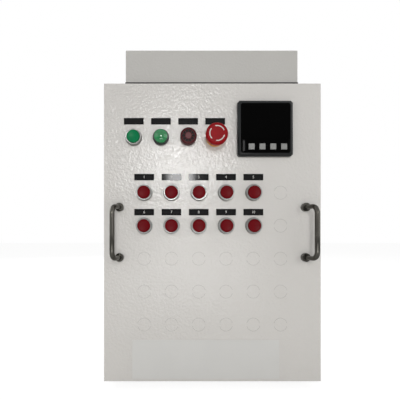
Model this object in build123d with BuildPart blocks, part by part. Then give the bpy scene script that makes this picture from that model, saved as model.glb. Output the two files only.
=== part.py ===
from build123d import *
import os

os.makedirs("parts", exist_ok=True)

# Cabinet, mm
sheet = 1.5
panel_w = 380
panel_h = 522
panel_return = 18
cab_depth = 500
body_half = 185
foot_h = 10
foot_w = 30
foot_inset = 45

# Handles
handle_x = 162
handle_pitch = 87.5
handle_mid = 261.2
bar_r = 4
grip_axis = 36
grip_bend = 12
grip_lean = 7.5
grip_start = 3
collar_r = 7.5
collar_h = 8

# Load terminals at the rear
stud_r = 5
shank_w = 12
shank_gap = 0.2
bar_w = 20
bar_t = 6
stud_pitch = 50
stud_z = 150
stud_inside = 15
block_depth = 15
block_w = 200
block_h = 50
block_cut_w = 180
block_cut_h = 24
stud_reach = 55

# Push buttons: a cap of cap_r slides in a ring of bezel_r
col_pitch = 47.8
row_rise = (330.6, 272.8)
cap_r = 11.1
cap_gap = 0.3
cap_proud = 12
cap_skirt = 2
bezel_r = 14.5
bezel_h = 10
stem_w = 8
stem_gap = 0.5
stem_in = 25
contact_w = 26
contact_h = 40
contact_d = 38
contact_hole = 32

# Control row above the push buttons
row_z = 427
start_x = -137.6
lamp_x = -90.1
buzzer_x = -42.4
stop_x = 4.9
device_r = 14
device_box = 26
device_box_d = 38
neck_w = 15
lamp_rim_h = 6
lens_r = 11.5
lens_h = 11
lens_edge = 3
buzzer_h = 16
stop_collar_r = 16
stop_collar_h = 6
stop_head_r = 18.75
stop_head_h = 18
stop_head_edge = 4
stop_gap = 6
stop_stem_w = 9

# Meter
meter_w = 96
meter_x = 90.7
meter_z = 441
meter_h = 11
meter_edge = 2
meter_body = 90
meter_body_d = 60
meter_fit = 0.5
key_w = 10
key_gap = 0.3
key_pitch = 18.6
key_first = -24.4
key_drop = -32
key_h = 4
key_proud = 1
window_w = 84
window_h = 56
window_t = 0.5
window_rise = 9

# Plates on the front
label_w = 34.5
label_h = 11.2
label_t = 0.8
label_rise_top = 28.7
label_rise_rows = (27.2, 23.7)
rating_w = 257.5
rating_h = 68
rating_t = 0.4
rating_x = -11.5
rating_z = 38.7

# Exhaust hood
hood_w = 307
hood_h = 64
hood_depth = 300
hood_back = 12
hood_sheet = 1.2
hood_lip = 12
grille_bars = 12
grille_bar = 3
grille_drop = 6

# Louvres
louvre_count = 8
louvre_pitch = 20
louvre_low = 60
louvre_len = 200
louvre_slot = 8
louvre_out = 4
louvre_y = 80
louvre_t = 1.5
vent_x = -50
vent_low = 35
vent_w = 200
vent_h = 6
vent_pitch = 14
vent_count = 5

# Resistor bank, fans and switchgear
rack_x = 150
rack_low = 400
rack_high = 500
rack_front = 80
rack_depth = 210
element_t = 8
element_h = 38
element_cols = 5
element_rows = 2
element_rise = 46
guard_w = 12
guard_d = 30
guard_h = 22
fan_plate_z = 300
fan_w = 150
fan_h = 38
fan_bore = 70
fan_x = 85
fan_y = 185
fan_cut = 132
motor_w = 34
hub_r = 22
hub_h = 20
blade_tip = 66
blade_t = 2.5
blade_chord = 30
blade_tilt = 28
blade_count = 5
strut_w = 12
strut_h = 6
motor_h = 7
gear_y = 250
gear_h = 240
gear_t = 2
rail_t = 7
rail_h = 35
switch_w = 26
switch_pitch = 28
switch_h = 70
switch_d = 60
switch_low = 100
switch_count = 10
switch_nose = 15
term_x = -30
term_y = 125
term_w = 180
term_d = 30
term_h = 32
supply_inset = 75
supply_y = 340
supply_w = 80
supply_d = 100
supply_h = 60

# Supply inlet at the rear
inlet_x = 120
inlet_z = 60
inlet_w = 46
inlet_h = 26
inlet_rim = 3
socket_w = 28
socket_h = 20
socket_depth = 16

# Derived positions: the origin is at the bottom centre of the whole part
handle_reach = grip_axis + bar_r
face_y = handle_reach - (handle_reach + cab_depth + stud_reach) / 2
back_y = face_y + cab_depth
inner_y = face_y + sheet
low_z = foot_h
top_z = foot_h + panel_h
hole_r = cap_r + cap_gap
columns = [col_pitch * (i - 2.5) for i in range(5)]
button_at = [(x, low_z + z) for z in row_rise for x in columns]
start_at = (start_x, low_z + row_z)
push_at = button_at + [start_at]
device_at = [(x, low_z + row_z) for x in (lamp_x, buzzer_x, stop_x)]
stud_at = [(stud_pitch * (i - 1.5), stud_z) for i in range(4)]


def save(part, node):
    part.label = node
    export_step(part, f"parts/{node}.step")


def slab(x, y, z, mode=Mode.ADD):
    """A block between the two limits given for each axis."""
    middle = ((x[0] + x[1]) / 2, (y[0] + y[1]) / 2, (z[0] + z[1]) / 2)
    with Locations(middle):
        Box(x[1] - x[0], y[1] - y[0], z[1] - z[0], mode=mode)


def discs(places, r, y0, y1, mode=Mode.ADD):
    """Round bosses or holes along Y, from y0 to y1, at (x, z) places."""
    with BuildSketch(Plane.XZ.offset(-y1)) as rounds:
        with Locations(*places):
            Circle(r)
    extrude(rounds.sketch, amount=y1 - y0, mode=mode)


def squares(places, w, h, y0, y1, mode=Mode.ADD):
    """Rectangular bosses or holes along Y, from y0 to y1, at (x, z) places."""
    with BuildSketch(Plane.XZ.offset(-y1)) as shapes:
        with Locations(*places):
            Rectangle(w, h)
    extrude(shapes.sketch, amount=y1 - y0, mode=mode)


def front_panel():
    half = panel_w / 2
    lip = face_y + panel_return
    with BuildPart() as panel:
        slab((-half, half), (face_y, lip), (low_z, top_z))
        slab((-half + sheet, half - sheet), (inner_y, lip), (low_z + sheet, top_z - sheet), Mode.SUBTRACT)
        discs(push_at + device_at, hole_r, face_y, inner_y, Mode.SUBTRACT)
        cut = meter_body + 2 * meter_fit
        squares([(meter_x, low_z + meter_z)], cut, cut, face_y, inner_y, Mode.SUBTRACT)
    save(panel.part, "front_panel")


def side_panel(side, node):
    edges = sorted((side * (body_half - sheet), side * body_half))
    mid = face_y + louvre_y + louvre_len / 2
    with BuildPart() as panel:
        slab(edges, (inner_y, back_y - sheet), (low_z + sheet, top_z - sheet))
        for i in range(louvre_count):
            z = louvre_low + i * louvre_pitch
            slot = (z - louvre_slot / 2, z + louvre_slot / 2)
            slab(edges, (mid - louvre_len / 2, mid + louvre_len / 2), slot, Mode.SUBTRACT)
        # Each louvre is a strip that leaves the sheet above its slot and slopes outward
        with BuildSketch(Plane.XZ.offset(-mid)):
            for i in range(louvre_count):
                z = louvre_low + i * louvre_pitch
                root = side * body_half
                tip = side * (body_half + louvre_out)
                with BuildLine():
                    high = z + louvre_slot / 2 + 0.5
                    low = z - louvre_slot / 2
                    Polyline((root, high + louvre_t), (root, high), (tip, low), (tip, low + louvre_t),
                             close=True)
                make_face()
        extrude(amount=louvre_len / 2, both=True)
    save(panel.part, node)


def rear_panel():
    with BuildPart() as panel:
        slab((-body_half, body_half), (back_y - sheet, back_y), (low_z + sheet, top_z - sheet))
        squares([(0, stud_z)], block_cut_w, block_cut_h, back_y - sheet, back_y, Mode.SUBTRACT)
        squares([(inlet_x, inlet_z)], inlet_w + 1, inlet_h + 1, back_y - sheet, back_y, Mode.SUBTRACT)
        vents = [(vent_x, vent_low + vent_pitch * i) for i in range(vent_count)]
        squares(vents, vent_w, vent_h, back_y - sheet, back_y, Mode.SUBTRACT)
    save(panel.part, "rear_panel")


def base_and_top():
    y = (face_y + panel_return, back_y)
    with BuildPart() as pan:
        slab((-body_half, body_half), y, (low_z, low_z + sheet))
    save(pan.part, "base_pan")
    with BuildPart() as cover:
        slab((-body_half, body_half), y, (top_z - sheet, top_z))
        duct_back = face_y + hood_back + hood_depth - hood_lip
        slab((-rack_x, rack_x), (y[0] + hood_lip, duct_back), (top_z - sheet, top_z), Mode.SUBTRACT)
    save(cover.part, "top_cover")


def feet():
    x = body_half - foot_inset
    with BuildPart() as pads:
        with Locations((-x, face_y + foot_inset), (x, face_y + foot_inset),
                       (-x, back_y - foot_inset), (x, back_y - foot_inset)):
            Box(foot_w, foot_w, foot_h, align=(Align.CENTER, Align.CENTER, Align.MIN))
    save(pads.part, "feet")


def exhaust_hood():
    half = hood_w / 2
    y = (face_y + hood_back, face_y + hood_back + hood_depth)
    inner = (y[0] + hood_sheet, y[1] - hood_sheet)
    with BuildPart() as duct:
        slab((-half, half), y, (top_z, top_z + hood_h))
        slab((-half + hood_sheet, half - hood_sheet), inner, (top_z, top_z + hood_h), Mode.SUBTRACT)
    save(duct.part, "exhaust_hood")
    with BuildPart() as grille:
        high = top_z + hood_h - grille_drop
        step = (hood_w - 2 * hood_sheet) / (grille_bars + 1)
        for i in range(grille_bars):
            x = -half + hood_sheet + step * (i + 1)
            slab((x - grille_bar / 2, x + grille_bar / 2), inner, (high - grille_bar, high))
    save(grille.part, "hood_grille")


def handles():
    ends = (low_z + handle_mid - handle_pitch / 2, low_z + handle_mid + handle_pitch / 2)
    foot_y = face_y - collar_h
    out_y = face_y - grip_axis
    with BuildPart() as grips:
        for x in (-handle_x, handle_x):
            # The feet start square to the collars, then the grip leans outward
            start_y = foot_y - grip_start
            near_y = out_y + grip_bend
            slope = grip_lean / (start_y - out_y) * (1 if x > 0 else -1)
            near_x = x + slope * (start_y - near_y)
            out_x = x + slope * (start_y - out_y)
            with BuildLine():
                Polyline((x, foot_y, ends[0]), (x, start_y, ends[0]), (near_x, near_y, ends[0]),
                         (out_x, out_y, ends[0] + grip_bend), (out_x, out_y, ends[1] - grip_bend),
                         (near_x, near_y, ends[1]), (x, start_y, ends[1]), (x, foot_y, ends[1]))
            with BuildSketch(Plane(origin=(x, foot_y, ends[0]), z_dir=(0, -1, 0))):
                Circle(bar_r)
            sweep(transition=Transition.RIGHT)
    save(grips.part, "handles")
    with BuildPart() as collars:
        discs([(x, z) for x in (-handle_x, handle_x) for z in ends], collar_r, foot_y, face_y)
    save(collars.part, "handle_collars")


def push_buttons():
    with BuildPart() as rings:
        discs(push_at, bezel_r, face_y - bezel_h, face_y)
        discs(push_at, hole_r, face_y - bezel_h, face_y, Mode.SUBTRACT)
    save(rings.part, "button_bezels")
    with BuildPart() as blocks:
        squares(push_at, contact_w, contact_h, inner_y, inner_y + contact_d)
        hole = stem_w + 2 * stem_gap
        squares(push_at, hole, hole, inner_y, face_y + contact_hole, Mode.SUBTRACT)
    save(blocks.part, "contact_blocks")
    names = [f"load_button_{i + 1}" for i in range(len(button_at))] + ["start_button"]
    for node, place in zip(names, push_at):
        with BuildPart() as cap:
            discs([place], cap_r, face_y - cap_proud, face_y - cap_skirt)
            squares([place], stem_w, stem_w, face_y - cap_skirt, face_y + stem_in)
        save(cap.part, node)


def device_body(place, r, height):
    """A round head on the panel, its neck through the hole and its block behind."""
    discs([place], r, face_y - height, face_y)
    squares([place], neck_w, neck_w, face_y, inner_y)
    squares([place], device_box, device_box, inner_y, inner_y + device_box_d)


def lamp_and_buzzer():
    lamp_at, buzzer_at = device_at[0], device_at[1]
    with BuildPart() as body:
        device_body(lamp_at, device_r, lamp_rim_h)
    save(body.part, "lamp_body")
    with BuildPart() as lens:
        front = face_y - lamp_rim_h - lens_h
        discs([lamp_at], lens_r, front, face_y - lamp_rim_h)
        chamfer(lens.edges().sort_by(Axis.Y)[0], length=lens_edge)
    save(lens.part, "lamp_lens")
    with BuildPart() as sounder:
        device_body(buzzer_at, device_r, buzzer_h)
    save(sounder.part, "buzzer")


def emergency_stop():
    place = device_at[2]
    head_back = face_y - stop_collar_h - stop_gap
    hole = stop_stem_w + 2 * stem_gap
    with BuildPart() as body:
        device_body(place, stop_collar_r, stop_collar_h)
        squares([place], hole, hole, face_y - stop_collar_h, face_y + contact_hole, Mode.SUBTRACT)
    save(body.part, "estop_body")
    with BuildPart() as stem:
        squares([place], stop_stem_w, stop_stem_w, head_back, face_y + stem_in)
    save(stem.part, "estop_stem")
    with BuildPart() as head:
        discs([place], stop_head_r, head_back - stop_head_h, head_back)
        chamfer(head.edges().sort_by(Axis.Y)[0], length=stop_head_edge)
    save(head.part, "estop_head")


def meter():
    z = low_z + meter_z
    front = face_y - meter_h
    keys = [(meter_x + key_first + key_pitch * i, z + key_drop) for i in range(4)]
    key_back = front - key_proud + key_h
    pocket = key_w + 2 * key_gap
    with BuildPart() as case:
        squares([(meter_x, z)], meter_w, meter_w, front, face_y)
        chamfer(case.faces().sort_by(Axis.Y)[0].edges(), length=meter_edge)
        squares([(meter_x, z)], meter_body, meter_body, face_y, face_y + meter_body_d)
        squares(keys, pocket, pocket, front, key_back + key_proud, Mode.SUBTRACT)
    save(case.part, "meter_case")
    with BuildPart() as window:
        squares([(meter_x, z + window_rise)], window_w, window_h, front - window_t, front)
    save(window.part, "meter_window")
    for i, place in enumerate(keys):
        with BuildPart() as key:
            squares([place], key_w, key_w, front - key_proud, key_back)
        save(key.part, f"meter_key_{i + 1}")


def front_plates():
    places = [(x, low_z + row_z + label_rise_top) for x in (start_x, lamp_x, buzzer_x, stop_x)]
    for z, rise in zip(row_rise, label_rise_rows):
        places += [(x, low_z + z + rise) for x in columns]
    with BuildPart() as labels:
        squares(places, label_w, label_h, face_y - label_t, face_y)
    save(labels.part, "label_plates")
    with BuildPart() as plate:
        squares([(rating_x, low_z + rating_z)], rating_w, rating_h, face_y - rating_t, face_y)
    save(plate.part, "rating_plate")


def resistor_bank():
    y = (face_y + rack_front, face_y + rack_front + rack_depth)
    wall = body_half - sheet
    with BuildPart() as rack:
        for side in (-1, 1):
            slab(sorted((side * rack_x, side * (rack_x + sheet))), y, (rack_low, rack_high))
            for z in (rack_low, rack_high - sheet):
                slab(sorted((side * rack_x, side * wall)), y, (z, z + sheet))
    save(rack.part, "resistor_rack")
    mid_y = (y[0] + y[1]) / 2
    mid_z = (rack_low + rack_high) / 2
    with BuildPart() as elements:
        with BuildSketch(Plane.YZ.offset(-rack_x)):
            with Locations((mid_y, mid_z)):
                with GridLocations(rack_depth / element_cols, element_rise, element_cols, element_rows):
                    Rectangle(element_t, element_h)
        extrude(amount=2 * rack_x)
    save(elements.part, "resistor_elements")
    with BuildPart() as guard:
        x = rack_x + sheet
        with Locations((x + guard_w / 2, mid_y, mid_z)):
            Box(guard_w, guard_d, guard_h)
    save(guard.part, "thermal_switch")


def fans():
    mid = face_y + fan_y
    low = fan_plate_z - fan_h
    places = [(-fan_x, mid), (fan_x, mid)]
    half = fan_w / 2
    with BuildPart() as deck:
        wall = body_half - sheet
        slab((-wall, wall), (face_y + rack_front, back_y - sheet), (fan_plate_z, fan_plate_z + sheet))
        with Locations(*[(x, y, fan_plate_z) for x, y in places]):
            Box(fan_cut, fan_cut, 4 * sheet, mode=Mode.SUBTRACT)
    save(deck.part, "fan_plate")
    with BuildPart() as frames:
        for x, y in places:
            slab((x - half, x + half), (y - half, y + half), (low, fan_plate_z))
            with Locations((x, y, low + fan_h / 2)):
                Cylinder(fan_bore, fan_h, mode=Mode.SUBTRACT)
            # The motor stands on a strut across the bore
            slab((x - half, x + half), (y - strut_w / 2, y + strut_w / 2), (low, low + strut_h))
            with Locations((x, y, low + strut_h)):
                Box(motor_w, motor_w, motor_h, align=(Align.CENTER, Align.CENTER, Align.MIN))
    save(frames.part, "fan_frames")
    for (x, y), node in zip(places, ("fan_rotor_left", "fan_rotor_right")):
        base = low + strut_h + motor_h
        with BuildPart() as rotor:
            with Locations((x, y, base)):
                Cylinder(hub_r, hub_h, align=(Align.CENTER, Align.CENTER, Align.MIN))
            reach = (hub_r - 3 + blade_tip) / 2
            with Locations((x, y, base + hub_h / 2)):
                with PolarLocations(reach, blade_count):
                    Box(blade_tip - hub_r + 3, blade_chord, blade_t, rotation=(blade_tilt, 0, 0))
        save(rotor.part, node)


def switchgear():
    y = face_y + gear_y
    with BuildPart() as plate:
        slab((-rack_x, rack_x), (y, y + gear_t), (low_z + sheet, gear_h))
    save(plate.part, "gear_plate")
    mid = switch_low + switch_h / 2
    with BuildPart() as rail:
        slab((-rack_x, rack_x), (y - rail_t, y), (mid - rail_h / 2, mid + rail_h / 2))
    save(rail.part, "din_rail")
    with BuildPart() as switches:
        front = y - rail_t - switch_d
        for i in range(switch_count):
            x = switch_pitch * (i - (switch_count - 1) / 2)
            across = (x - switch_w / 2, x + switch_w / 2)
            slab(across, (front + switch_nose, y - rail_t), (switch_low, switch_low + switch_h))
            slab(across, (front, front + switch_nose), (mid - rail_h / 2, mid + rail_h / 2))
    save(switches.part, "contactors")
    floor = low_z + sheet
    with BuildPart() as terminals:
        with Locations((term_x, face_y + term_y, floor)):
            Box(term_w, term_d, term_h, align=(Align.CENTER, Align.CENTER, Align.MIN))
    save(terminals.part, "terminal_block")
    with BuildPart() as supply:
        with Locations((body_half - supply_inset, face_y + supply_y, floor)):
            Box(supply_w, supply_d, supply_h, align=(Align.CENTER, Align.CENTER, Align.MIN))
    save(supply.part, "control_supply")


def rear_terminals():
    inside = back_y - stud_inside
    with BuildPart() as block:
        squares([(0, stud_z)], block_w, block_h, back_y, back_y + block_depth)
        hole = shank_w + 2 * shank_gap
        squares(stud_at, hole, hole, back_y, back_y + block_depth, Mode.SUBTRACT)
    save(block.part, "stud_insulator")
    with BuildPart() as studs:
        squares(stud_at, shank_w, shank_w, inside, back_y + block_depth)
        discs(stud_at, stud_r, back_y + block_depth, back_y + stud_reach)
    save(studs.part, "load_studs")
    with BuildPart() as bars:
        squares(stud_at, bar_w, bar_t, face_y + gear_y + gear_t, inside)
    save(bars.part, "busbars")
    place = [(inlet_x, inlet_z)]
    with BuildPart() as inlet:
        squares(place, inlet_w + 8, inlet_h + 8, back_y, back_y + inlet_rim)
        squares(place, inlet_w, inlet_h, back_y - 25, back_y)
        mouth = back_y + inlet_rim
        squares(place, socket_w, socket_h, mouth - socket_depth, mouth, Mode.SUBTRACT)
    save(inlet.part, "supply_inlet")


front_panel()
side_panel(-1, "side_panel_left")
side_panel(1, "side_panel_right")
rear_panel()
base_and_top()
feet()
exhaust_hood()
handles()
push_buttons()
lamp_and_buzzer()
emergency_stop()
meter()
front_plates()
resistor_bank()
fans()
switchgear()
rear_terminals()
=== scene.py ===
import math

import bmesh
import bpy
from mathutils import Matrix, Vector


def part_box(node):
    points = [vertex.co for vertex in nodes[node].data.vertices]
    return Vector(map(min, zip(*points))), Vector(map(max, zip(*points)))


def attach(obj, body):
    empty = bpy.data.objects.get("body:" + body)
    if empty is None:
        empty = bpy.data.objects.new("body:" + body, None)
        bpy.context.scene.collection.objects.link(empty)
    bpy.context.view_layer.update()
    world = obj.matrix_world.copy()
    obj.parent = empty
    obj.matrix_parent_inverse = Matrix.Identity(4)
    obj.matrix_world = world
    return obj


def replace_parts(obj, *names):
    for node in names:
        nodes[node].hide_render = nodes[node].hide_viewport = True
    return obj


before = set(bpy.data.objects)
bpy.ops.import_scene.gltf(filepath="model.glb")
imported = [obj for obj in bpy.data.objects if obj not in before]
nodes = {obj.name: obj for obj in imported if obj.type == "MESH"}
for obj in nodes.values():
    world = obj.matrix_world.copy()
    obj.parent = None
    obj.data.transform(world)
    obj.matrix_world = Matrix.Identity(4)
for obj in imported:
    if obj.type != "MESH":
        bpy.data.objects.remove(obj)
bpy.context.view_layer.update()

MM = 0.001

# ---------------------------------------------------------------- places from the frame

face_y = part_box("front_panel")[0].y
back_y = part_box("rear_panel")[1].y
panel_low, panel_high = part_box("front_panel")[0].z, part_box("front_panel")[1].z
body_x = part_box("rear_panel")[1].x
LOAD_CAPS = [f"load_button_{i}" for i in range(1, 11)]
CAPS = LOAD_CAPS + ["start_button"]


def centre(node):
    low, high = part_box(node)
    return (low + high) / 2


# ---------------------------------------------------------------- materials

def linear(code):
    """An sRGB hex colour as linear RGBA."""
    values = [int(code[i:i + 2], 16) / 255 for i in (1, 3, 5)]
    return [v / 12.92 if v <= 0.04045 else ((v + 0.055) / 1.055) ** 2.4 for v in values] + [1]


def add(tree, kind, settings=None, **inputs):
    """Adds a node with its settings; an input is a value or another node's output."""
    made = tree.nodes.new(kind)
    for name, value in (settings or {}).items():
        setattr(made, name, value)
    for name, value in inputs.items():
        numbered = name[0] == "i" and name[1:].isdigit()
        socket = made.inputs[int(name[1:]) if numbered else name.replace("_", " ")]
        if isinstance(value, bpy.types.NodeSocket):
            tree.links.new(value, socket)
        else:
            socket.default_value = value
    return made


def finish(name, light, dark, rough, spread_mm, grain_mm, bump, metal=0.0, ior=None, coat=0.0,
           rough_span=0.08, depth=0.3, specular=0.5):
    """A surface with a soft colour change over spread_mm and a relief of grain_mm.

    The roughness varies by rough_span either way, and the relief is depth mm high."""
    made = bpy.data.materials.new(name)
    made.use_nodes = True
    tree = made.node_tree
    shader = tree.nodes["Principled BSDF"]
    place = add(tree, "ShaderNodeTexCoord").outputs["Object"]
    broad = add(tree, "ShaderNodeTexNoise", Vector=place, Scale=1000 / spread_mm, Detail=3.0)
    fine = add(tree, "ShaderNodeTexNoise", Vector=place, Scale=1000 / grain_mm, Detail=2.0)
    colour = add(tree, "ShaderNodeMix", {"data_type": "RGBA"}, i0=broad.outputs["Fac"],
                 i6=linear(dark), i7=linear(light))
    tree.links.new(colour.outputs[2], shader.inputs["Base Color"])
    spread = add(tree, "ShaderNodeMapRange", Value=fine.outputs["Fac"],
                 To_Min=max(rough - rough_span, 0.02), To_Max=rough + rough_span)
    tree.links.new(spread.outputs["Result"], shader.inputs["Roughness"])
    relief = add(tree, "ShaderNodeBump", Height=fine.outputs["Fac"], Strength=bump,
                 Distance=depth * MM)
    tree.links.new(relief.outputs["Normal"], shader.inputs["Normal"])
    shader.inputs["Metallic"].default_value = metal
    if ior:
        shader.inputs["IOR"].default_value = ior
    shader.inputs["Specular IOR Level"].default_value = specular
    shader.inputs["Coat Weight"].default_value = coat
    shader.inputs["Coat Roughness"].default_value = 0.08
    return made


# Powder-coated steel: an orange-peel relief that breaks up the highlight
powder_coat = finish("powder_coated_steel", "#CFCCC8", "#C8C5C1", 0.16, 160, 4.0, 1.0,
                     ior=1.5, depth=0.7, rough_span=0.06)
# The hood's coat is greyer and more matt
hood_coat = finish("powder_coated_hood", "#B9B7B3", "#B2B0AC", 0.42, 120, 3.6, 0.8,
                   ior=1.5, depth=0.4)
# The edge left where a knock-out is punched, under the same coat, coloured darker as painted
# shade
painted_kerf_shade = finish("painted_kerf_shade", "#93908C", "#868380", 0.6, 30, 1.0, 0.1)
# Chrome-plated steel tube: mirror-like with faint rubbing marks; painted shade darkens its
# colour
chrome = finish("chrome_plated_steel", "#605E59", "#3C3A35", 0.13, 20, 0.8, 0.02, metal=1.0,
                rough_span=0.04)
# Chrome-plated zinc bezels: satin; painted shade darkens their colour
bezel_metal = finish("satin_chrome_bezel", "#9C9C9A", "#7C7C7A", 0.3, 12, 0.6, 0.05, metal=1.0)
# Bare and plated metals of the inside and the terminals
zinc = finish("zinc_plated_steel", "#B4B8BA", "#9DA1A5", 0.4, 18, 0.9, 0.08, metal=1.0)
copper = finish("bare_copper", "#B87455", "#9A5A40", 0.34, 25, 0.8, 0.06, metal=1.0)
brass = finish("machined_brass", "#C9A862", "#B08D4A", 0.3, 10, 0.5, 0.06, metal=1.0)
# Moulded polycarbonate: the caps, and a lens with a clear gloss
red_cap = finish("red_polycarbonate_cap", "#6C0911", "#57060D", 0.34, 9, 0.7, 0.03,
                 ior=1.58, specular=0.05)
green_cap = finish("green_polycarbonate_cap", "#087A4A", "#06653D", 0.34, 9, 0.7, 0.03,
                   ior=1.58, specular=0.08)
green_lens = finish("green_polycarbonate_lens", "#0B8A49", "#086034", 0.12, 6, 0.8, 0.02,
                    ior=1.58, coat=0.6, rough_span=0.04, specular=0.3)
# Moulded ABS: the buzzer, the emergency stop and other housings
buzzer_abs = finish("dark_red_abs", "#4C1418", "#3A0E12", 0.38, 9, 0.7, 0.05,
                    ior=1.53, specular=0.1)
buzzer_centre = finish("red_grey_abs", "#6E4648", "#5C3A3C", 0.45, 5, 0.7, 0.05,
                       ior=1.53, specular=0.1)
stop_red = finish("red_abs_mushroom", "#8E0F16", "#7C0B11", 0.34, 14, 0.8, 0.03,
                  ior=1.53, specular=0.07)
stop_yellow = finish("yellow_abs_collar", "#E09A25", "#CC861B", 0.4, 12, 0.8, 0.04, ior=1.53)
black_abs = finish("black_abs", "#161617", "#0F0F10", 0.42, 20, 0.7, 0.08, ior=1.53)
meter_abs = finish("meter_frame_abs", "#181A1B", "#111314", 0.3, 25, 0.6, 0.06,
                   ior=1.53, specular=0.2)
# The shadowed bottom of the sound slots
dark_hole = finish("dark_recess", "#0B0808", "#050404", 0.8, 5, 0.6, 0.02)
# Pad-printed ink, matt
white_ink = finish("white_pad_print", "#CFCECA", "#AFAEAA", 0.5, 8, 0.6, 0.02)
# Polished acrylic: the meter's window and the label plates
meter_gloss = finish("meter_window_acrylic", "#040404", "#020202", 0.07, 30, 1.2, 0.01,
                     ior=1.49, rough_span=0.02, specular=0.02)
label_black = finish("engraved_label_acrylic", "#0A0A0B", "#060607", 0.08, 14, 3.0, 0.01,
                     ior=1.49, rough_span=0.02, specular=0.17)
# Silicone keys, a satin film, rubber and bare ceramic
key_grey = finish("grey_silicone_key", "#858583", "#777775", 0.5, 6, 0.5, 0.06)
film_grey = finish("satin_polyester_film", "#CDCCC9", "#C6C5C2", 0.46, 60, 1.1, 0.05)
rubber = finish("moulded_rubber", "#1A1A1A", "#121212", 0.75, 10, 0.8, 0.2)
ceramic = finish("unglazed_ceramic_element", "#A8A294", "#8F897B", 0.75, 15, 0.8, 0.2)

COATS = {
    powder_coat: "front_panel side_panel_left side_panel_right rear_panel base_pan top_cover",
    hood_coat: "exhaust_hood hood_grille",
    rubber: "feet", chrome: "handle_collars handles", bezel_metal: "button_bezels",
    black_abs: "contact_blocks lamp_body stud_insulator supply_inlet fan_frames contactors "
               "terminal_block thermal_switch fan_rotor_left fan_rotor_right estop_stem",
    green_lens: "lamp_lens", buzzer_abs: "buzzer", stop_yellow: "estop_body",
    stop_red: "estop_head", meter_abs: "meter_case", meter_gloss: "meter_window",
    key_grey: "meter_key_1 meter_key_2 meter_key_3 meter_key_4",
    label_black: "label_plates", film_grey: "rating_plate",
    zinc: "resistor_rack fan_plate gear_plate din_rail control_supply",
    ceramic: "resistor_elements", brass: "load_studs", copper: "busbars",
    red_cap: " ".join(LOAD_CAPS), green_cap: "start_button",
}
for material, names in COATS.items():
    for name in names.split():
        for piece_slot in nodes[name].material_slots:
            piece_slot.material = material


# ---------------------------------------------------------------- mesh tools

SMOOTH_UNDER = math.radians(35)
# Turns what faces up to the front
TO_FRONT = Matrix.Rotation(math.pi / 2, 4, "X")


def piece(name, mesh, material, body, smooth=True):
    """Closes a bmesh into an object that rides on a body."""
    bmesh.ops.remove_doubles(mesh, verts=mesh.verts, dist=1e-6)
    bmesh.ops.recalc_face_normals(mesh, faces=mesh.faces)
    data = bpy.data.meshes.new(name)
    mesh.to_mesh(data)
    mesh.free()
    made = bpy.data.objects.new(name, data)
    bpy.context.scene.collection.objects.link(made)
    data.materials.append(material)
    if smooth:
        data.shade_smooth()
        data.set_sharp_from_angle(angle=SMOOTH_UNDER)
    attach(made, body)
    return made


def merge(mesh, part):
    """Moves a finished bmesh into another one."""
    held = bpy.data.meshes.new("held")
    part.to_mesh(held)
    part.free()
    mesh.from_mesh(held)
    bpy.data.meshes.remove(held)


def extrude(mesh, faces, keep=False):
    """Extrudes faces in place, and gives the new vertices and the new faces."""
    grown = bmesh.ops.extrude_face_region(mesh, geom=faces)["geom"]
    if not keep:
        bmesh.ops.delete(mesh, geom=faces, context="FACES_ONLY")
    kinds = (bmesh.types.BMVert, bmesh.types.BMFace)
    return [[g for g in grown if isinstance(g, kind)] for kind in kinds]


def lathe(mesh, profile, x, z, steps=48):
    """Spins a profile of (radius mm, mm in front of the panel) about a Y axis through x, z."""
    line = [mesh.verts.new((x + r * MM, face_y - out * MM, z)) for r, out in profile]
    edges = [mesh.edges.new(pair) for pair in zip(line, line[1:])]
    bmesh.ops.spin(mesh, geom=line + edges, cent=(x, 0, z), axis=(0, 1, 0), angle=math.tau,
                   steps=steps, use_merge=True)
    bmesh.ops.remove_doubles(mesh, verts=mesh.verts, dist=1e-7)


def arc(mesh, points, edges, x, z, angle, steps):
    """Sweeps points and edges round a Y axis through x, z, the way the front is read."""
    bmesh.ops.spin(mesh, geom=points + edges, cent=(x, 0, z), axis=(0, -1, 0), angle=angle,
                   steps=steps)


def on_circle(mesh, x, z, r, angle, y):
    """A vertex at a radius in mm and an angle round x, z."""
    return mesh.verts.new((x + r * MM * math.cos(angle), y, z + r * MM * math.sin(angle)))


def box_in(mesh, low, high):
    """Adds a box between two corners."""
    size = [b - a for a, b in zip(low, high)]
    middle = Vector([(a + b) / 2 for a, b in zip(low, high)])
    bmesh.ops.create_cube(mesh, size=1,
                          matrix=Matrix.Translation(middle) @ Matrix.Diagonal((*size, 1)))


def rounded(r, edge, out, steps=4):
    """The points of a rounded front edge, from the side to the front."""
    turn = [math.pi / 2 * i / steps for i in range(steps + 1)]
    return [(r - edge + edge * math.cos(a), out - edge + edge * math.sin(a)) for a in turn]


# ---------------------------------------------------------------- push buttons

# A tall bezel: a straight foot, a tapered wall and a rolled lip round the cap
BEZEL = [(11.4, 0), (14.5, 0), (14.5, 3.2), (14.2, 3.9), (13.8, 8.6), (13.5, 9.6), (13.0, 10),
         (11.9, 9.95), (11.35, 9.5), (11.35, 7.0), (11.4, 6.4), (11.4, 0)]

# A flat cap with a narrow raised rim
CAP_R, CAP_OUT = 11.05, 12
CAP = ([(0, 2), (CAP_R, 2)] + rounded(CAP_R, 0.6, CAP_OUT)
       + [(10.1, CAP_OUT), (9.9, 11.7), (9.7, 11.6), (0, 11.6)])
STEM_HALF, STEM_START = 0.004, 0.003

rings = bmesh.new()
for node in CAPS:
    at = centre(node)
    lathe(rings, BEZEL, at.x, at.z)
bezels = piece("button_bezel_rings", rings, bezel_metal, "cabinet")
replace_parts(bezels, "button_bezels")

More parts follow.
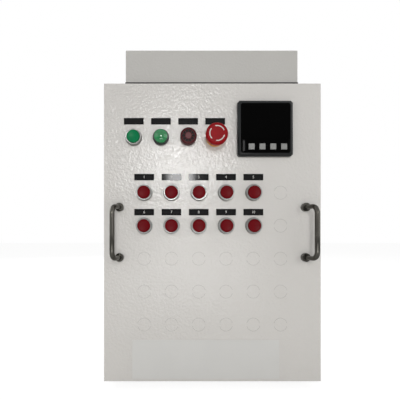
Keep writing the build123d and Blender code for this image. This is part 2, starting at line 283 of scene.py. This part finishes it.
for node in CAPS:
    at = centre(node)
    is_start = node == "start_button"
    material, slot = (green_cap, "start_green") if is_start else (red_cap, "button_red")
    shape = bmesh.new()
    lathe(shape, CAP, at.x, at.z)
    stem_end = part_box(node)[1].y
    box_in(shape, (at.x - STEM_HALF, face_y - STEM_START, at.z - STEM_HALF),
           (at.x + STEM_HALF, stem_end, at.z + STEM_HALF))
    cap = piece(node + "_cap", shape, material, node)
    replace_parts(cap, node)

# ---------------------------------------------------------------- lamp, buzzer and stop

# A shallow dome, part of a sphere of DOME_R
at = centre("lamp_lens")
lens = bmesh.new()
DOME_R, LENS_R, LENS_OUT, LENS_FOOT, DOME_STEPS = 19.3, 11.5, 17, 6, 10
radii = [LENS_R * i / DOME_STEPS for i in range(DOME_STEPS, 0, -1)]
dome = [(r, LENS_OUT - DOME_R + math.sqrt(DOME_R ** 2 - r ** 2)) for r in radii]
lathe(lens, [(0, LENS_FOOT), (LENS_R, LENS_FOOT)] + dome + [(0, LENS_OUT)], at.x, at.z, 56)
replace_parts(piece("pilot_lamp_lens", lens, green_lens, "cabinet"), "lamp_lens")
LAMP_RIM = [(14.0, 5.95), (11.5, 5.95), (11.5, 7.2), (12.6, 7.2), (13.9, 6.0), (14.0, 5.95)]
rim = bmesh.new()
lathe(rim, LAMP_RIM, at.x, at.z)
piece("pilot_lamp_rim", rim, black_abs, "cabinet")

# The buzzer's front has a ring of sound slots: a groove crossed by ribs
buzz_low, buzz_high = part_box("buzzer")
at = centre("buzzer")
front, back = (face_y - buzz_low.y) / MM, (face_y - buzz_high.y) / MM
wide = (buzz_high.x - buzz_low.x) / 2 / MM
GROOVE_IN, GROOVE_OUT, GROOVE_DEEP, GROOVE_EDGE, SHANK_R = 5.9, 10.6, 1.5, 0.2, 9.0
RIBS, RIB_HALF, RIB_BACK, RIB_SUNK, RIB_INTO = 10, 0.0006, 0.0001, 0.15, 0.3
groove = front - GROOVE_DEEP
shank = [(0, back), (SHANK_R, back), (SHANK_R, 0), (wide, 0)]
slots = [(GROOVE_OUT + GROOVE_EDGE, front), (GROOVE_OUT, front - GROOVE_EDGE),
         (GROOVE_OUT, groove), (GROOVE_IN, groove), (GROOVE_IN, front - GROOVE_EDGE),
         (GROOVE_IN - GROOVE_EDGE, front), (0, front)]
sounder = bmesh.new()
lathe(sounder, shank + rounded(wide, 1.2, front) + slots, at.x, at.z)
for face in sounder.faces:
    if abs(face.calc_center_median().y - face_y + groove * MM) < 0.05 * MM:
        face.material_index = 1
for turn in range(RIBS):
    rib = bmesh.new()
    box_in(rib, (-RIB_HALF, -RIB_BACK, (GROOVE_IN - RIB_INTO) * MM),
           (RIB_HALF, (GROOVE_DEEP + 0.1) * MM, (GROOVE_OUT + RIB_INTO) * MM))
    place = Matrix.Translation((at.x, face_y - (front - RIB_SUNK) * MM, at.z))
    spoke = Matrix.Rotation(math.tau * turn / RIBS, 4, "Y")
    bmesh.ops.transform(rib, verts=rib.verts, matrix=place @ spoke)
    merge(sounder, rib)
made = piece("buzzer_body_and_slots", sounder, buzzer_abs, "cabinet")
made.data.materials.append(dark_hole)
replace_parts(made, "buzzer")
DISC_R, DISC_EDGE, DISC_BACK, DISC_OUT = 5.2, 0.4, 0.3, 0.2
disc = bmesh.new()
lathe(disc, [(0, front - DISC_BACK), (DISC_R, front - DISC_BACK)]
      + rounded(DISC_R, DISC_EDGE, front + DISC_OUT) + [(0, front + DISC_OUT)], at.x, at.z, 40)
piece("buzzer_centre_disc", disc, buzzer_centre, "cabinet")

low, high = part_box("estop_head")
at = (low + high) / 2
back_out, front_out = (face_y - high.y) / MM, (face_y - low.y) / MM
HEAD_R, HEAD_EDGE, HEAD_FLAT_R = 18.75, 4.4, 14.0
underside = [(0, back_out), (15.0, back_out), (17.6, back_out + 2.5), (HEAD_R, back_out + 7)]
head = bmesh.new()
lathe(head, underside + rounded(HEAD_R, HEAD_EDGE, front_out, 8)[1:]
      + [(HEAD_FLAT_R, front_out), (0, front_out)], at.x, at.z, 64)
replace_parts(piece("stop_mushroom_head", head, stop_red, "estop_head"), "estop_head")

# Three printed arrows round the head: arc strips with a pointed end
ARROW_R, ARROW_START, ARROW_SPAN = (11.6, 13.2), 0.38, 1.3
TIP_LOW, TIP_HIGH, TIP_POINT, TIP_SPAN = 11.0, 13.8, 12.4, 0.2
INK_OUT, INK_THICK = 0.0001, 0.00025
arrows = bmesh.new()
ink_y = low.y - INK_OUT
for turn in range(3):
    start = math.tau * turn / 3 + ARROW_START
    end = start + ARROW_SPAN
    strip = [on_circle(arrows, at.x, at.z, r, start, ink_y) for r in ARROW_R]
    arc(arrows, strip, [arrows.edges.new(strip)], at.x, at.z, ARROW_SPAN, 14)
    tip = ((TIP_LOW, end), (TIP_HIGH, end), (TIP_POINT, end + TIP_SPAN))
    arrows.faces.new([on_circle(arrows, at.x, at.z, r, a, ink_y) for r, a in tip])
verts, _ = extrude(arrows, arrows.faces[:], keep=True)
bmesh.ops.translate(arrows, verts=verts, vec=(0, INK_THICK, 0))
piece("stop_turn_arrows", arrows, white_ink, "estop_head", smooth=False)

# ---------------------------------------------------------------- meter

# The frame slopes back from a glossy face to cut corners, with a pocket for each key
case_low, case_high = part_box("meter_case")
mid_x, mid_z = (case_low.x + case_high.x) / 2, (case_low.z + case_high.z) / 2
half = (case_high.x - case_low.x) / 2
KEYS = [f"meter_key_{i}" for i in range(1, 5)]
KEY_ROOM, KEY_BEHIND = 0.0003, 0.0012
# Half width, corner cut and y of each loop, from the panel to the glossy face
FRAME_LOOPS = ((half, 0.0035, face_y), (half, 0.0035, case_low.y + 0.0035),
               (half - 0.0015, 0.0034, case_low.y + 0.0016), (half - 0.005, 0.0026, case_low.y))
BODY_IN, BODY_START, BODY_EDGE = 0.003, 0.0001, 0.0015


def cut_corner_loop(mesh, half, cut, y):
    """A square loop of vertices with cut corners."""
    near = half - cut
    ring = [(half, -near), (half, near), (near, half), (-near, half),
            (-half, near), (-half, -near), (-near, -half), (near, -half)]
    return [mesh.verts.new((mid_x + x, y, mid_z + z)) for x, z in ring]


case = bmesh.new()
loops = [cut_corner_loop(case, *loop) for loop in FRAME_LOOPS]
for near, far in zip(loops, loops[1:]):
    for i in range(8):
        case.faces.new((near[i], near[(i + 1) % 8], far[(i + 1) % 8], far[i]))
case.faces.new(loops[0])
face = case.faces.new(loops[-1])
face.material_index = 1
key_boxes = [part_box(node) for node in KEYS]
key_low, key_high = key_boxes[0]
planes = [((x, 0, 0), (1, 0, 0)) for low, high in key_boxes
          for x in (low.x - KEY_ROOM, high.x + KEY_ROOM)]
planes += [((0, 0, z), (0, 0, 1)) for z in (key_low.z - KEY_ROOM, key_high.z + KEY_ROOM)]
for point, normal in planes:
    faces = [f for f in case.faces if f.material_index == 1]
    geom = (faces + list({e for f in faces for e in f.edges})
            + list({v for f in faces for v in f.verts}))
    bmesh.ops.bisect_plane(case, geom=geom, plane_co=point, plane_no=normal, dist=1e-7)
for low, high in key_boxes:
    pocket = [f for f in case.faces if f.material_index == 1
              and low.x < f.calc_center_median().x < high.x
              and low.z < f.calc_center_median().z < high.z]
    verts, _ = extrude(case, pocket)
    bmesh.ops.translate(case, verts=verts, vec=(0, high.y + KEY_BEHIND - case_low.y, 0))
body = bmesh.new()
side = half - BODY_IN
box_in(body, (mid_x - side, face_y + BODY_START, mid_z - side),
       (mid_x + side, case_high.y, mid_z + side))
bmesh.ops.bevel(body, geom=body.edges[:], offset=BODY_EDGE, affect="EDGES", segments=2,
                profile=0.5, material=-1)
merge(case, body)
made = piece("meter_frame_and_body", case, meter_abs, "cabinet")
made.data.materials.append(meter_gloss)
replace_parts(made, "meter_case")

# ---------------------------------------------------------------- handles

foot_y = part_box("handles")[1].y
grip_low, grip_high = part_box("handles")
BAR_R, BEND_R, COLLAR_R = 0.004, 0.012, 0.0075
# The lean starts this far in front of the foot
LEAN_START = 0.003


def straight(mesh, faces, move):
    """Extrudes faces along a move, and gives the faces at its end."""
    verts, faces = extrude(mesh, faces)
    bmesh.ops.translate(mesh, verts=verts, vec=move)
    return faces


def round_bend(mesh, faces, middle, angle, steps=10):
    """Extrudes faces round a bend about the X axis, and gives the faces at its end."""
    for _ in range(steps):
        verts, faces = extrude(mesh, faces)
        bmesh.ops.rotate(mesh, verts=verts, cent=middle,
                         matrix=Matrix.Rotation(angle / steps, 3, "X"))
    return faces


grips = bmesh.new()
for side in (-1, 1):
    x = side * (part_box("handle_collars")[1].x - COLLAR_R)
    z0, z1 = grip_low.z + BAR_R, grip_high.z - BAR_R
    out = grip_low.y + BAR_R
    made = bmesh.ops.create_circle(grips, cap_ends=True, segments=28, radius=BAR_R,
                                   matrix=Matrix.Translation((x, foot_y, z0)) @ TO_FRONT)
    ends = list({f for v in made["verts"] for f in v.link_faces})
    ends = straight(grips, ends, (0, out + BEND_R - foot_y, 0))
    ends = round_bend(grips, ends, (x, out + BEND_R, z0 + BEND_R), -math.pi / 2)
    ends = straight(grips, ends, (0, 0, z1 - z0 - 2 * BEND_R))
    ends = round_bend(grips, ends, (x, out + BEND_R, z1 - BEND_R), -math.pi / 2)
    straight(grips, ends, (0, foot_y - out - BEND_R, 0))
# The grip leans outward past its square feet
lean = grip_high.x - BAR_R - (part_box("handle_collars")[1].x - COLLAR_R)
lean_end = foot_y - LEAN_START - grip_low.y - BAR_R
for vert in grips.verts:
    past = foot_y - LEAN_START - vert.co.y
    if past > 0:
        vert.co.x += math.copysign(lean * min(past / lean_end, 1), vert.co.x)
bmesh.ops.holes_fill(grips, edges=[e for e in grips.edges if e.is_boundary], sides=0)
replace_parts(piece("handle_grips", grips, chrome, "cabinet"), "handles")

# ---------------------------------------------------------------- knock-outs

# Each ring is two raised arcs, with a bridge of metal between their ends
CUT_IN, CUT_OUT, CUT_RISE = 11.3, 11.65, 0.00008
CUT_START, CUT_SPAN = 0.25, 2.65
CUT_SECTION = ((CUT_IN, 0), (CUT_IN, CUT_RISE), (CUT_OUT, CUT_RISE), (CUT_OUT, 0))
pitch_x = centre("load_button_2").x - centre("load_button_1").x
first_x = centre("load_button_1").x
row_1, row_2 = centre("load_button_1").z, centre("load_button_6").z
row_step = row_1 - row_2
# The sixth place of the two button rows, and three full rows below them
grid = [(5, row) for row in range(2)]
grid += [(column, row) for row in range(2, 5) for column in range(6)]
cuts = bmesh.new()
for column, row in grid:
    x, z = first_x + pitch_x * column, row_1 - row_step * row
    for start in (CUT_START, CUT_START + math.pi):
        section = [on_circle(cuts, x, z, r, start, face_y - rise) for r, rise in CUT_SECTION]
        edges = [cuts.edges.new((section[i], section[(i + 1) % 4])) for i in range(4)]
        arc(cuts, section, edges, x, z, CUT_SPAN, 22)
bmesh.ops.holes_fill(cuts, edges=[e for e in cuts.edges if e.is_boundary], sides=4)
# The arcs are real cut lines; their darker colour is painted shade of the narrow cut
piece("knock_out_cuts", cuts, painted_kerf_shade, "cabinet", smooth=False)

# ---------------------------------------------------------------- step numbers

plate_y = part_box("label_plates")[0].y
# From the centre of a cap up to the centre of its plate, for the upper and the lower row
PLATE_UP = (27.2 * MM, 23.7 * MM)
NUMBER_TALL, NUMBER_THICK = 0.0064, 0.00004
for i, node in enumerate(LOAD_CAPS):
    curve = bpy.data.curves.new(f"step_number_{i + 1}", "FONT")
    curve.body, curve.size, curve.extrude = str(i + 1), NUMBER_TALL, NUMBER_THICK
    curve.align_x, curve.align_y = "CENTER", "CENTER"
    text = bpy.data.objects.new("number", curve)
    bpy.context.scene.collection.objects.link(text)
    bpy.context.view_layer.update()
    number = bmesh.new()
    shown = text.evaluated_get(bpy.context.evaluated_depsgraph_get())
    held = bpy.data.meshes.new_from_object(shown)
    number.from_mesh(held)
    bpy.data.objects.remove(text)
    bpy.data.meshes.remove(held)
    at = centre(node)
    place = Matrix.Translation((at.x, plate_y - NUMBER_THICK, at.z + PLATE_UP[i // 5]))
    bmesh.ops.transform(number, verts=number.verts, matrix=place @ TO_FRONT)
    piece(f"step_number_{i + 1}", number, white_ink, "cabinet", smooth=False)

# ---------------------------------------------------------------- painted shade strip under the hood

hood_low, hood_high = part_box("exhaust_hood")
# Painted shade: a thin black rubber strip round the foot of the hood stands for the shadow line
# where the hood meets the top
SHADE_STRIP_OUT, SHADE_STRIP_TALL = 0.0008, 0.007
x0, y0, x1, y1 = hood_low.x, hood_low.y, hood_high.x, hood_high.y
strips = ((x0 - SHADE_STRIP_OUT, y0 - SHADE_STRIP_OUT, x1 + SHADE_STRIP_OUT, y0),
          (x0 - SHADE_STRIP_OUT, y1, x1 + SHADE_STRIP_OUT, y1 + SHADE_STRIP_OUT),
          (x0 - SHADE_STRIP_OUT, y0, x0, y1), (x1, y0, x1 + SHADE_STRIP_OUT, y1))
shade_strip = bmesh.new()
for left, near, right, far in strips:
    box_in(shade_strip, (left, near, hood_low.z), (right, far, hood_low.z + SHADE_STRIP_TALL))
piece("hood_painted_shade_strip", shade_strip, rubber, "cabinet", smooth=False)

# ---------------------------------------------------------------- screws and terminal nuts

def screw(mesh, place, normal, r=0.0032):
    """A pan-head screw with a round recess, standing on a panel."""
    turn = Vector((0, 0, 1)).rotation_difference(Vector(normal)).to_matrix().to_4x4()
    head = bmesh.new()
    bmesh.ops.create_cone(head, cap_ends=True, segments=20, radius1=r, radius2=r * 0.72,
                          depth=r * 0.5)
    top = max(head.faces, key=lambda f: f.calc_center_median().z)
    bmesh.ops.inset_region(head, faces=[top], thickness=r * 0.3, depth=-r * 0.18)
    stand = Matrix.Translation(Vector(place) + Vector(normal) * r * 0.25)
    bmesh.ops.transform(head, verts=head.verts, matrix=stand @ turn)
    merge(mesh, head)


SCREW_IN, REAR_IN_Z = 0.012, 0.014
SIDE_FIRST, SIDE_SHORT = 0.035, 0.05
TOP_FRONT, TOP_BACK = 0.06, 0.02
heads = bmesh.new()
side_y = [face_y + SIDE_FIRST + (back_y - face_y - SIDE_SHORT) * i / 3 for i in range(4)]
for side in (-1, 1):
    for y in side_y:
        for z in (panel_low + SCREW_IN, panel_high - SCREW_IN):
            screw(heads, (side * body_x, y, z), (side, 0, 0))
for x in (-body_x + SCREW_IN, 0, body_x - SCREW_IN):
    for z in (panel_low + REAR_IN_Z, panel_high - REAR_IN_Z):
        screw(heads, (x, back_y, z), (0, 1, 0))
top_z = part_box("top_cover")[1].z
for x in (-body_x + SCREW_IN, body_x - SCREW_IN):
    for y in (face_y + TOP_FRONT, 0, back_y - TOP_BACK):
        screw(heads, (x, y, top_z), (0, 0, 1))
piece("panel_screws", heads, zinc, "cabinet")

nuts = bmesh.new()
stud_low, stud_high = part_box("load_studs")
block_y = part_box("stud_insulator")[1].y
STUD_R = 0.006
pitch = (stud_high.x - stud_low.x - 2 * STUD_R) / 3
stud_z = (stud_low.z + stud_high.z) / 2
# Start, sides, radius and depth of a round washer and of a hexagon nut
FASTENERS = ((0.0, 32, 0.010, 0.002), (0.002, 6, 0.0095, 0.008))
for i in range(4):
    x = stud_low.x + STUD_R + pitch * i
    for start, sides, r, depth in FASTENERS:
        place = Matrix.Translation((x, block_y + start + depth / 2, stud_z))
        bmesh.ops.create_cone(nuts, cap_ends=True, segments=sides, radius1=r, radius2=r,
                              depth=depth, matrix=place @ TO_FRONT)
piece("terminal_nuts_and_washers", nuts, brass, "cabinet")

# ---------------------------------------------------------------- stage, light and camera

floor_data = bpy.data.meshes.new("floor")
flat = bmesh.new()
bmesh.ops.create_grid(flat, x_segments=1, y_segments=1, size=6)
flat.to_mesh(floor_data)
flat.free()
floor = bpy.data.objects.new("floor", floor_data)
bpy.context.scene.collection.objects.link(floor)
# The floor reads as white to the camera and still takes the shadow
FLOOR_SHARE, FLOOR_GLOW = 0.8, 1.13
pale_floor = bpy.data.materials.new("pale_floor")
pale_floor.use_nodes = True
tree = pale_floor.node_tree
matt = tree.nodes["Principled BSDF"]
matt.inputs["Base Color"].default_value = linear("#F4F4F2")
matt.inputs["Roughness"].default_value = 0.9
floor_ray = add(tree, "ShaderNodeLightPath")
share = add(tree, "ShaderNodeMath", {"operation": "MULTIPLY"},
            i0=floor_ray.outputs["Is Camera Ray"], i1=FLOOR_SHARE)
glow = add(tree, "ShaderNodeEmission", Color=(1, 1, 1, 1), Strength=FLOOR_GLOW)
both = add(tree, "ShaderNodeMixShader", i0=share.outputs[0], i1=matt.outputs[0],
           i2=glow.outputs[0])
tree.links.new(both.outputs[0], tree.nodes["Material Output"].inputs["Surface"])
floor_data.materials.append(pale_floor)

# The world is white where it is seen, mirrored or looked through, and dimmer as a light
WORLD_LIGHT, WORLD_SEEN = 0.288, 1.0
world = bpy.data.worlds.new("studio")
bpy.context.scene.world = world
world.use_nodes = True
sky = world.node_tree
ray = add(sky, "ShaderNodeLightPath")
direct = add(sky, "ShaderNodeMath", {"operation": "MAXIMUM"}, i0=ray.outputs["Is Camera Ray"],
             i1=ray.outputs["Is Transmission Ray"])
seen = add(sky, "ShaderNodeMath", {"operation": "MAXIMUM"}, i0=direct.outputs[0],
           i1=ray.outputs["Is Glossy Ray"])
strength = add(sky, "ShaderNodeMapRange", Value=seen.outputs[0], To_Min=WORLD_LIGHT,
               To_Max=WORLD_SEEN)
backdrop = sky.nodes["Background"]
backdrop.inputs["Color"].default_value = (1, 1, 1, 1)
sky.links.new(strength.outputs["Result"], backdrop.inputs["Strength"])


def lamp(name, place, aim, wide, tall, power):
    """A rectangular lamp at a place, turned to a point."""
    light = bpy.data.lights.new(name, "AREA")
    light.energy = power
    light.shape = "RECTANGLE"
    light.size, light.size_y = wide, tall
    made = bpy.data.objects.new(name, light)
    bpy.context.scene.collection.objects.link(made)
    made.location = place
    made.rotation_euler = (Vector(aim) - Vector(place)).to_track_quat("-Z", "Y").to_euler()


# The key makes the highlight on the front; the next three fill it
lamp("key", (-0.03, face_y - 1.5, 0.68), (-0.055, face_y, 0.385), 0.16, 0.34, 5.7)
lamp("left", (-1.5, -1.5, 1.1), (0, -0.2, 0.25), 1.2, 1.2, 3.0)
lamp("right", (1.5, -1.6, 0.8), (0, -0.2, 0.2), 1.2, 1.2, 5.72)
lamp("low", (-0.02, face_y - 0.95, 0.09), (-0.05, face_y, 0.3), 0.5, 0.12, 1.07)
# These stand behind the front panel's plane and light only the other sides
lamp("back", (-0.5, 2.1, 1.3), (0, 0.2, 0.28), 1.4, 1.4, 25.0)
lamp("left_side", (-2.1, 0.3, 1.4), (0, 0.1, 0.28), 1.2, 1.2, 17.0)
lamp("right_side", (2.1, 0.3, 1.4), (0, 0.1, 0.28), 1.2, 1.2, 17.0)

camera_data = bpy.data.cameras.new("camera")
camera_data.lens, camera_data.sensor_width = 30.8, 36
camera_data.shift_x, camera_data.shift_y = 0.0625, 0.0725
camera = bpy.data.objects.new("camera", camera_data)
bpy.context.scene.collection.objects.link(camera)
camera.location = (-0.0655, face_y - 0.6, panel_low + 0.267)
camera.rotation_euler = (math.pi / 2, 0, 0)
bpy.context.scene.camera = camera
bpy.context.scene.view_settings.view_transform = "Standard"
